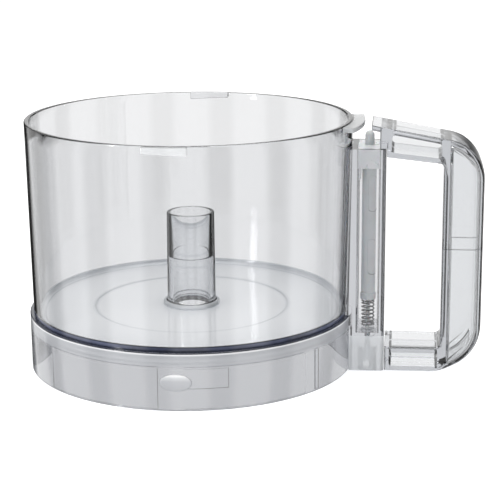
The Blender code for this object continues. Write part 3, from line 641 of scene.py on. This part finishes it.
def make_bowl(material):
    """Wall and floor with the two ramped lugs and the ear."""
    bowl = add_object("bowl_shell", turned(bowl_outline()), material)
    root = RIM_R - WALL / 2
    top = RIM_Z - 0.2 * MM
    lug_thin, lug_thick = 3.4 * MM, 4.6 * MM
    ear_r, ear_angles, ear_thick = RIM_R + 7.0 * MM, (-19.0, 10.0), 2.8 * MM
    blocks = bmesh.new()
    for middle in LUG_ANGLES:
        add_curved_block(blocks, (root, LUG_R), (middle - LUG_WIDTH / 2, middle + LUG_WIDTH / 2),
                         (top - lug_thin, top - lug_thick), (top, top))
    add_curved_block(blocks, (root, ear_r), ear_angles, (top - ear_thick,) * 2, (top, top))
    lugs = add_object("lug_blocks", blocks)
    soften_edges(lugs, 0.35 * MM)
    settle(lugs)
    combine(bowl, lugs, "UNION")
    fit(bowl, "clear_bowl_polycarbonate", "bowl_body")


# ------------------------------------------------------------------ skirt

def skirt_outline():
    """Half-section of the mounting skirt."""
    edge = 0.6 * MM
    lip_in = WALL_FOOT_R + GAP
    ledge_width, ledge_thick = 4.4 * MM, 2.5 * MM
    ledge_in = SKIRT_INNER_R - ledge_width
    ledge_top = FLOOR_UNDER_Z - GAP
    ledge_under = ledge_top - ledge_thick
    return (arc(SKIRT_INNER_R + edge / 2, edge / 2, edge / 2, 180, 270, 3)
            + arc(SKIRT_R - edge, edge, edge, -90, 0, 4)
            + arc(SKIRT_R - edge, FLOOR_Z - edge, edge, 0, 90, 5)
            + [(lip_in, FLOOR_Z), (lip_in, ledge_top), (ledge_in, ledge_top), (ledge_in, ledge_under)]
            + arc(SKIRT_INNER_R - edge, ledge_under - edge, edge, 90, 0, 4))


def bayonet_pads():
    """Raised pads and stop ribs on the inside of the skirt."""
    shape = bmesh.new()
    radii = (SKIRT_INNER_R - 1.2 * MM, SKIRT_INNER_R + 1.0 * MM)
    foot, top = 0.6 * MM, FLOOR_UNDER_Z - 4.8 * MM
    pad_sweep, rib_half = 45.0, 0.8
    for start in (-139.0, -85.0, 41.0, 95.0):
        add_curved_block(shape, radii, (start, start + pad_sweep), (foot, foot), (top, top))
    for middle in (-34.0, 146.0):
        add_curved_block(shape, radii, (middle - rib_half, middle + rib_half), (foot, foot), (top, top))
    return shape


def bayonet_tracks():
    """Cutters for the locking tracks in two of the pads."""
    shape = bmesh.new()
    radii = (SKIRT_INNER_R - 2.4 * MM, SKIRT_INNER_R - 0.3 * MM)
    top = FLOOR_UNDER_Z - 6.0 * MM
    depth, lead_in, sweep = 11 * MM, 1.0, 15.0
    for start in (-85.0, 95.0):
        add_curved_block(shape, radii, (start - lead_in, start + sweep), (top - depth,) * 2, (top, top))
    return shape


def thumb_pad():
    """A low domed oval standing radially on the outside of the skirt."""
    steps, rings = 72, 6
    angle = radians(-87.7)
    width, height, middle = 17.8 * MM, 9.7 * MM, 16.2 * MM
    proud, shrink, buried = 0.4 * MM, 0.12, -1.0 * MM
    across = (-sin(angle), cos(angle))
    sizes = [(1.0, buried)]
    for k in range(rings + 1):
        tilt = pi / 2 * k / rings
        sizes.append((1.0 - shrink * (1 - cos(tilt)), proud * sin(tilt)))
    shape = bmesh.new()
    layers = []
    for scale, rise in sizes:
        layer = []
        for k in range(steps):
            turn = tau * k / steps
            side = width / 2 * scale * cos(turn)
            up = height / 2 * scale * sin(turn)
            depth = sqrt((SKIRT_R + rise) ** 2 - side * side)
            layer.append(shape.verts.new((depth * cos(angle) + side * across[0],
                                          depth * sin(angle) + side * across[1], middle + up)))
        layers.append(layer)
    for here, there in zip(layers, layers[1:]):
        for k in range(steps):
            j = (k + 1) % steps
            shape.faces.new((here[k], here[j], there[j], there[k]))
    for layer in (layers[0], layers[-1]):
        centre = shape.verts.new(sum((v.co for v in layer), Vector()) / steps)
        for k in range(steps):
            shape.faces.new((layer[k], layer[(k + 1) % steps], centre))
    return shape


def make_skirt(material):
    """The mounting skirt with its bayonet pads, tracks and oval thumb pad."""
    skirt = add_object("mounting_skirt", turned(skirt_outline()), material)
    combine(skirt, add_object("pads", bayonet_pads()), "UNION")
    combine(skirt, add_object("tracks", bayonet_tracks()), "DIFFERENCE")
    combine(skirt, add_object("oval", thumb_pad()), "UNION")
    fit(skirt, "clear_skirt_polycarbonate", "base_skirt")


# ------------------------------------------------------------------ centre tube

def make_tube(material):
    """The open centre tube with its seat bead and stepped bore."""
    seat = FLOOR_Z - RING_STEP + GAP
    bead_r, bead = 16.7 * MM, 3.2 * MM
    under_r, over_r, neck_r = 0.5 * MM, 1.2 * MM, 1.0 * MM
    tail, top = TUBE_LOW.z, TUBE_HIGH.z
    edge = 0.45 * MM
    step_z, bore_top, bore_foot = 62.6 * MM, 12.1 * MM, 11.3 * MM
    outline = [(TUBE_FOOT_R, tail), (TUBE_FOOT_R, seat)]
    outline += arc(bead_r - under_r, seat + under_r, under_r, -90, 0, 4)
    outline += arc(bead_r - over_r, seat + 1.4 * MM, over_r, 0, 80, 7)
    outline += arc(TUBE_FOOT_R + neck_r, seat + bead + 0.4 * MM, neck_r, 250, 180, 5)
    outline += arc(TUBE_TOP_R - edge, top - edge, edge, 0, 90, 5)
    outline += arc(bore_top + edge, top - edge, edge, 90, 180, 5)
    # The bore's step, then its draft down to the tail
    outline += [(bore_top - 0.12 * MM, step_z + 0.6 * MM), (bore_top - 0.3 * MM, step_z),
                (bore_top - 0.5 * MM, step_z - 0.2 * MM)]
    outline += [(bore_foot + 0.1 * MM, tail + 3 * MM), (bore_foot, tail)]
    tube = add_object("shaft_tube", turned(outline, 128), material)
    fit(tube, "clear_tube_polycarbonate", "centre_tube")


# ------------------------------------------------------------------ rod housing

def housing_plan():
    """Plan of the housing, its two outer edges rounded; the bowl cuts off the inner side."""
    corner = 2.5 * MM
    x, y = HOUSING_OUT - corner, HOUSING_HALF - corner
    inner = WALL_FOOT_R / 2
    return ([(inner, -HOUSING_HALF)] + arc(x, -y, corner, -90, 0, 8)
            + arc(x, y, corner, 0, 90, 8) + [(inner, HOUSING_HALF)])


def bowl_clearance():
    """Cutter with the bowl's outside shape and the clearance round it."""
    outline = [(0, -10 * MM), (SKIRT_R + GAP, -10 * MM), (SKIRT_R + GAP, FLOOR_Z + GAP),
               (WALL_FOOT_R + GAP, FLOOR_Z + GAP), (RIM_R + GAP, RIM_Z), (0, RIM_Z)]
    return turned(outline)


def stadium(x, z, length, width):
    """An upright stadium outline."""
    half = (length - width) / 2
    return arc(x, z + half, width / 2, 0, 180, 14) + arc(x, z - half, width / 2, 180, 360, 14)


def make_housing(material):
    """The upright housing with its channel, spigot hole, switch pocket and sunk panels."""
    housing = add_object("lock_rod_housing", prism(housing_plan(), "z", 0, HOUSING_TOP_Z), material)
    combine(housing, add_object("clearance", bowl_clearance()), "DIFFERENCE")
    seat_z = SPRING_LOW.z - GAP
    channel_x = (CHANNEL_IN - GAP, CHANNEL_OUT + GAP)
    plan = filleted(rectangle(channel_x, (-CHANNEL_HALF - GAP, CHANNEL_HALF + GAP)), 1.2 * MM)
    combine(housing, add_object("channel", prism(plan, "z", seat_z, RIM_Z)), "DIFFERENCE")
    spigot_hole_r, pocket_r, pocket_depth = 1.6 * MM, 5.5 * MM, 12 * MM
    hole = disc(ROD_X, spigot_hole_r, (pocket_depth / 2, seat_z + GAP))
    combine(housing, add_object("spigot_hole", hole), "DIFFERENCE")
    pocket = disc(ROD_X, pocket_r, (-pocket_depth, pocket_depth))
    combine(housing, add_object("pocket", pocket), "DIFFERENCE")
    low_z, top_z = 31.3 * MM, HOUSING_TOP_Z - 25.4 * MM
    panel_x, panel_length, panel_width = ROD_X + 2.3 * MM, 21.0 * MM, 4.9 * MM
    for k in range(3):
        z = low_z + (top_z - low_z) * k / 2
        outline = stadium(panel_x, z, panel_length, panel_width)
        panel = add_object("panel", prism(outline, "y", -HOUSING_HALF - MM, -HOUSING_HALF + MM))
        combine(housing, panel, "DIFFERENCE")
    soften_edges(housing, 0.3 * MM)
    fit(housing, "clear_housing_polycarbonate", "rod_housing")


def make_cap(material):
    """Guide cap: a plug hollow from below, a boss round the rod's tip and one snap leg."""
    low, high = CAP_LOW.z + CAP_LEG, CAP_HIGH.z
    half = CHANNEL_HALF
    plug = rectangle((CHANNEL_IN, CHANNEL_OUT), (-half, half))
    cap = add_object("guide_cap", prism(plug, "z", low, high), material)
    wall, top = 1.6 * MM, 2.2 * MM
    leg_thick, leg_half, boss_r, hole_r = 1.5 * MM, 7 * MM, 4.6 * MM, 3.0 * MM
    plan = filleted(rectangle((CHANNEL_IN + wall, CHANNEL_OUT - wall), (wall - half, half - wall)), 0.8 * MM)
    combine(cap, add_object("room", prism(plan, "z", low - top, high - top)), "DIFFERENCE")
    combine(cap, add_object("boss", disc(ROD_X, boss_r, (low, high - top / 2))), "UNION")
    leg_plan = rectangle((CHANNEL_IN, CHANNEL_IN + leg_thick), (-leg_half, leg_half))
    combine(cap, add_object("leg", prism(leg_plan, "z", CAP_LOW.z, low + top)), "UNION")
    combine(cap, add_object("hole", disc(ROD_X, hole_r, (low - top, RIM_Z))), "DIFFERENCE")
    soften_edges(cap, 0.25 * MM)
    fit(cap, "natural_acetal_cap", "rod_guide_cap")


# ------------------------------------------------------------------ push rod and spring

def shift_x(shape, x):
    """Move a turned shape from the bowl's axis to another upright axis."""
    bmesh.ops.translate(shape, verts=shape.verts, vec=(x, 0, 0))
    return shape


def make_rod(material):
    """The push rod: spigot, rimmed foot, round body and domed tip."""
    body_r, tip_r, foot_r, spigot_r = 4.15 * MM, 2.7 * MM, 4.6 * MM, 1.2 * MM
    foot_z = SPRING_HIGH.z + GAP
    shoulder_z = CAP_LOW.z + CAP_LEG - GAP
    top = ROD_HIGH.z
    edge = 0.4 * MM
    outline = [(0, ROD_LOW.z)] + arc(spigot_r - edge, ROD_LOW.z + edge, edge, -90, 0, 4)
    outline += [(spigot_r, foot_z)] + arc(foot_r - edge, foot_z + edge, edge, -90, 0, 4)
    foot_height, foot_slope = 3.5 * MM, 0.5 * MM
    outline += [(foot_r, foot_z + foot_height), (body_r, foot_z + foot_height + foot_slope)]
    outline += arc(body_r - edge, shoulder_z - edge, edge, 0, 90, 5)
    outline += [(tip_r, shoulder_z)] + arc(0, top - tip_r, tip_r, 0, 90, 14)
    rod = add_object("lock_push_rod", shift_x(turned(outline, 72), ROD_X), material)
    fit(rod, "grey_acetal_rod", "push_rod", body=ROD_BODY)


def make_spring(material):
    """Compression spring with a dead turn at each end, wound from round wire."""
    turns, per_turn, sides = 8, 48, 14
    wire = 0.8 * MM
    radius = 3.9 * MM - wire / 2
    low, high = SPRING_LOW.z + wire / 2, SPRING_HIGH.z - wire / 2
    dead = wire * 1.2
    pitch = (high - low - 2 * dead) / (turns - 2)
    shape = bmesh.new()
    rings = []
    for step in range(turns * per_turn + 1):
        turn = step / per_turn
        end_turns = min(turn, 1.0) + max(turn - (turns - 1), 0.0)
        z = low + dead * end_turns + pitch * (turn - end_turns)
        angle = tau * turn
        ring = []
        for k in range(sides):
            a = tau * k / sides
            r = radius + wire / 2 * cos(a)
            ring.append(shape.verts.new((r * cos(angle), r * sin(angle), z + wire / 2 * sin(a))))
        rings.append(ring)
    for here, there in zip(rings, rings[1:]):
        for k in range(sides):
            j = (k + 1) % sides
            shape.faces.new((here[k], here[j], there[j], there[k]))
    shape.faces.new(rings[0])
    shape.faces.new(reversed(rings[-1]))
    spring = add_object("return_spring", shift_x(shape, ROD_X), material, 60)
    fit(spring, "stainless_spring_wire", "rod_spring")
    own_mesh(spring)


# ------------------------------------------------------------------ handle

def arm_top_z(x):
    """Height of the upper arm's top at distance x."""
    return NOSE_Z - ARM_SLOPE * (x - NOSE_X)


def opening_top_z(x):
    """Height of the finger opening's top edge at distance x."""
    return arm_top_z(HOUSING_OUT) - ARM_DEPTH - OPENING_SLOPE * (x - HOUSING_OUT)


def top_corner_centre():
    """Centre of the outer top corner, tangent to the sloping arm and the grip."""
    x = GRIP_X - TOP_CORNER_R
    return x, arm_top_z(x) - TOP_CORNER_R * sqrt(1 + ARM_SLOPE * ARM_SLOPE)


def with_rounding(points, rounding):
    """Give every point of a run the same edge rounding."""
    return [(x, z, rounding) for x, z in points]


def handle_outline():
    """Side outline of the whole loop handle, anticlockwise, each point with its edge rounding."""
    steps = 28
    grip, arm, palm, corner = 7.0 * MM, 1.4 * MM, 3.0 * MM, 2.5 * MM
    cx, cz = top_corner_centre()
    slope = 90 - degrees(ARM_SLOPE / sqrt(1 + ARM_SLOPE * ARM_SLOPE))
    bottom = arc(GRIP_X - BOTTOM_CORNER_R, BOTTOM_CORNER_R, BOTTOM_CORNER_R, -90, 0, steps)
    top = arc(cx, cz, TOP_CORNER_R, 0, slope, steps)
    points = [(ARM_X, 0, arm)]
    # The grip's wide rounding fades into the arms' small one round the two outer corners
    points += [(x, z, arm + (grip - arm) * min(1, 4 * k / steps)) for k, (x, z) in enumerate(bottom)]
    for k, (x, z) in enumerate(top):
        points.append((x, z, grip + (arm - grip) * max(0, min(1, 2 * k / steps - 0.5))))
    nose_under = NOSE_Z - 3.0 * MM
    root_in = HOUSING_OUT - 3.7 * MM
    root_rounding = 0.6 * MM
    points += with_rounding([(NOSE_X, NOSE_Z), (NOSE_X, nose_under)], arm / 2)
    points += with_rounding([(root_in, nose_under - ARM_SLOPE * (root_in - NOSE_X)),
                             (root_in, HOUSING_TOP_Z + GAP), (ARM_X, HOUSING_TOP_Z + GAP)], root_rounding)
    points.append((ARM_X, opening_top_z(ARM_X), arm / 2))
    upper_z = opening_top_z(PALM_X - corner) - corner
    points += with_rounding(arc(PALM_X - corner, upper_z, corner, 90, 0, 8), palm / 2)
    points.append((PALM_X, upper_z - 2 * corner, palm))
    lower_z = LOWER_ARM + corner
    points.append((PALM_X, lower_z + 2 * corner, palm))
    points += with_rounding(arc(PALM_X - corner, lower_z, corner, 0, -90, 8), palm / 2)
    points.append((ARM_X, LOWER_ARM, arm))
    return points


def cavity_outline():
    """Side outline of the hollow inside the grip, following its outer corners."""
    steps = 24
    cx, cz = top_corner_centre()
    inner = PALM_X + GRIP_WALL
    top_r, bottom_r = TOP_CORNER_R - GRIP_WALL, BOTTOM_CORNER_R - GRIP_WALL
    bottom_x = GRIP_X - BOTTOM_CORNER_R
    points = []
    for k in range(steps + 1):
        x = inner + (bottom_x + bottom_r - inner) * sin(pi / 2 * k / steps)
        points.append((x, BOTTOM_CORNER_R - sqrt(max(0, bottom_r ** 2 - (x - bottom_x) ** 2))))
    for k in range(steps, -1, -1):
        x = inner + (cx + top_r - inner) * sin(pi / 2 * k / steps)
        points.append((x, cz + sqrt(max(0, top_r ** 2 - (x - cx) ** 2))))
    edge = 2.0 * MM
    return with_rounding(points, edge)


def recess_outlines():
    """Outlines of the recesses that turn the two arms into I-beams."""
    corner = 1.6 * MM
    start, end = ARM_X + 2.7 * MM, PALM_X - 1.35 * MM
    lower = [(start, FLANGE), (end, FLANGE), (end, LOWER_ARM - FLANGE), (start, LOWER_ARM - FLANGE)]
    upper = [(start, opening_top_z(start) + FLANGE), (end, opening_top_z(end) + FLANGE),
             (end, arm_top_z(end) - FLANGE), (start, arm_top_z(start) - FLANGE)]
    return {"upper": filleted(upper, corner), "lower": filleted(lower, corner)}


def make_handle_half(material, which):
    """One half of the loop handle: an I-beam arm and its half of the hollow grip."""
    half = add_object(f"loop_handle_{which}", rounded_plate(handle_outline(), HANDLE_HALF), material)
    beyond = RIM_Z + HANDLE_HALF
    other = (-beyond, SEAM_Z + GAP / 2) if which == "upper" else (SEAM_Z - GAP / 2, beyond)
    rest = prism(rectangle((0, 2 * GRIP_X), (-2 * HANDLE_HALF, 2 * HANDLE_HALF)), "z", *other)
    combine(half, add_object("rest", rest), "DIFFERENCE")
    cavity = rounded_plate(cavity_outline(), HANDLE_HALF - GRIP_WALL)
    combine(half, add_object("cavity", cavity), "DIFFERENCE")
    outline = recess_outlines()[which]
    for side in (-1, 1):
        levels = sorted((side * WEB_HALF, side * 2 * HANDLE_HALF))
        combine(half, add_object("recess", prism(outline, "y", *levels)), "DIFFERENCE")
    soften_edges(half, 0.35 * MM)
    fit(half, "clear_handle_polycarbonate", f"handle_{which}")


# ------------------------------------------------------------------ table, light and camera

FORWARD = 95.82                     # direction the camera looks in, degrees from +X
CAMERA_PLACE = (0.09015, -0.90758, 0.29982)
CAMERA_PITCH = -14.326              # degrees, down from level
CAMERA_ROLL = -0.367                # degrees
CAMERA_LENS = 115.13                # focal length in millimetres
WHITE = (1.0, 1.0, 1.0, 1.0)


def make_table():
    """A wide pale table top in matt laminate.

    It is hidden from bent and mirrored rays, so that the clear plastic shows the room instead.
    """
    material, tree, output = new_material("matt_white_laminate")
    place = add_node(tree, "ShaderNodeTexCoord").outputs["Object"]
    # Fine pebble of the laminate, 2 mm across
    pebble = add_node(tree, "ShaderNodeTexNoise", inputs={
        "Vector": place, "Scale": 500.0, "Detail": 2.0})
    matt = add_node(tree, "ShaderNodeMapRange", inputs={
        "Value": pebble.outputs["Fac"], "From Min": 0.3, "From Max": 0.7,
        "To Min": 0.75, "To Max": 0.85})
    shader = add_node(tree, "ShaderNodeBsdfPrincipled", inputs={
        "Base Color": linear("#FAFAFA"), "Roughness": matt.outputs["Result"],
        "Emission Color": WHITE, "Emission Strength": 0.45})
    tree.links.new(shader.outputs[0], output.inputs["Surface"])
    shape = bmesh.new()
    bmesh.ops.create_grid(shape, x_segments=4, y_segments=4, size=12.0)
    table = add_object("table_top", shape, material)
    table.location.z = -0.2 * MM
    table.visible_transmission = False
    table.visible_glossy = False


def make_room():
    """The room: eight tall bright panels with dark gaps, a softer ceiling and a softer floor.

    The camera faces the middle of one panel, and so does every view turned by 45 degrees from it.
    """
    panels, gap_level, panel_level = 8, 0.03, 1.0
    ceiling_level, floor_level, backdrop_level = 0.55, 0.45, 1.0
    world = bpy.data.worlds.new("panel_room")
    bpy.context.scene.world = world
    world.use_nodes = True
    tree = world.node_tree
    tree.nodes.clear()
    towards = add_node(tree, "ShaderNodeTexCoord").outputs["Generated"]
    direction = add_node(tree, "ShaderNodeSeparateXYZ", inputs={"Vector": towards}).outputs
    turn = add_node(tree, "ShaderNodeMath", {"operation": "ARCTAN2"}, {
        0: direction["Y"], 1: direction["X"]})
    repeats = add_node(tree, "ShaderNodeMath", {"operation": "MULTIPLY_ADD"}, {
        0: turn.outputs["Value"], 1: float(panels), 2: -panels * radians(FORWARD)})
    wave = add_node(tree, "ShaderNodeMath", {"operation": "COSINE"}, {0: repeats.outputs["Value"]})
    panel = add_node(tree, "ShaderNodeMapRange", inputs={
        "Value": wave.outputs["Value"], "From Min": -0.75, "From Max": 0.05,
        "To Min": gap_level, "To Max": panel_level})
    # Panels stand between 45 degrees below and 40 degrees above the horizon
    above = zone(tree, (direction["Z"], 0.5, 0.68, 0.0, 1.0))
    below = zone(tree, (direction["Z"], -0.75, -0.6, 1.0, 0.0))
    level = panel.outputs["Result"]
    for share, end_level in ((above, ceiling_level), (below, floor_level)):
        level = add_node(tree, "ShaderNodeMix", {"data_type": "FLOAT"}, {
            "Factor": share, LEVEL_FIRST: level, LEVEL_SECOND: end_level}).outputs[LEVEL_RESULT]
    room = add_node(tree, "ShaderNodeBackground", inputs={"Color": WHITE, "Strength": level})
    backdrop = add_node(tree, "ShaderNodeBackground", inputs={
        "Color": WHITE, "Strength": backdrop_level})
    path = add_node(tree, "ShaderNodeLightPath")
    mixed = add_node(tree, "ShaderNodeMixShader", inputs={
        0: path.outputs["Is Camera Ray"], 1: room.outputs[0], 2: backdrop.outputs[0]})
    add_node(tree, "ShaderNodeOutputWorld", inputs={"Surface": mixed.outputs[0]})


def add_softbox(name, place, target, size, power):
    """A rectangular soft light aimed at a point."""
    lamp = bpy.data.lights.new(name, "AREA")
    lamp.shape = "RECTANGLE"
    lamp.size, lamp.size_y = size
    lamp.energy = power
    light = bpy.data.objects.new(name, lamp)
    light.location = place
    light.rotation_euler = (Vector(target) - Vector(place)).to_track_quat("-Z", "Y").to_euler()
    bpy.context.scene.collection.objects.link(light)


def make_camera():
    """Camera across the front, a little above the rim, on a long lens."""
    lens = bpy.data.cameras.new("front_camera")
    lens.lens = CAMERA_LENS
    lens.sensor_width = 36.0
    lens.clip_start, lens.clip_end = 0.05, 60.0
    camera = bpy.data.objects.new("front_camera", lens)
    camera.location = CAMERA_PLACE
    yaw, pitch, roll = radians(FORWARD - 90), radians(CAMERA_PITCH), radians(CAMERA_ROLL)
    camera.rotation_euler = (Matrix.Rotation(yaw, 3, "Z") @ Matrix.Rotation(pi / 2 + pitch, 3, "X")
                             @ Matrix.Rotation(roll, 3, "Z")).to_euler()
    bpy.context.scene.collection.objects.link(camera)
    bpy.context.scene.camera = camera


make_camera()
make_table()
make_room()
add_softbox("overhead_softbox", place=(0, 0.1, 1.4), target=(0, 0, 0), size=(1.2, 1.2), power=14.0)
add_softbox("left_strip", place=(-0.9, -0.9, 0.45), target=(AXIS_X, 0, 0.08), size=(0.12, 0.8), power=4.0)

make_bowl(moulded_polycarbonate("polished_polycarbonate", "#FFFFFF", 45.0, bowl_shade))
make_skirt(moulded_polycarbonate("skirt_polycarbonate", "#CCCDD0", 14.0, skirt_shade))
make_tube(moulded_polycarbonate("tube_polycarbonate", "#FFFFFF", 45.0, tube_shade))
make_housing(moulded_polycarbonate("housing_polycarbonate", "#F6F6F7", 14.0, housing_shade))
handle_plastic = moulded_polycarbonate("handle_polycarbonate", "#F3F4F5", 16.0)
for which_half in ("upper", "lower"):
    make_handle_half(handle_plastic, which_half)
make_cap(moulded_acetal("natural_acetal", "#FFFFFF", "#F8F9F9", roughness=0.3, translucent=0.4))
make_rod(moulded_acetal("grey_acetal", "#CBCCCC", "#BDBFBF", roughness=0.42))
make_spring(drawn_stainless("spring_wire"))

bpy.context.scene.view_settings.view_transform = "Standard"
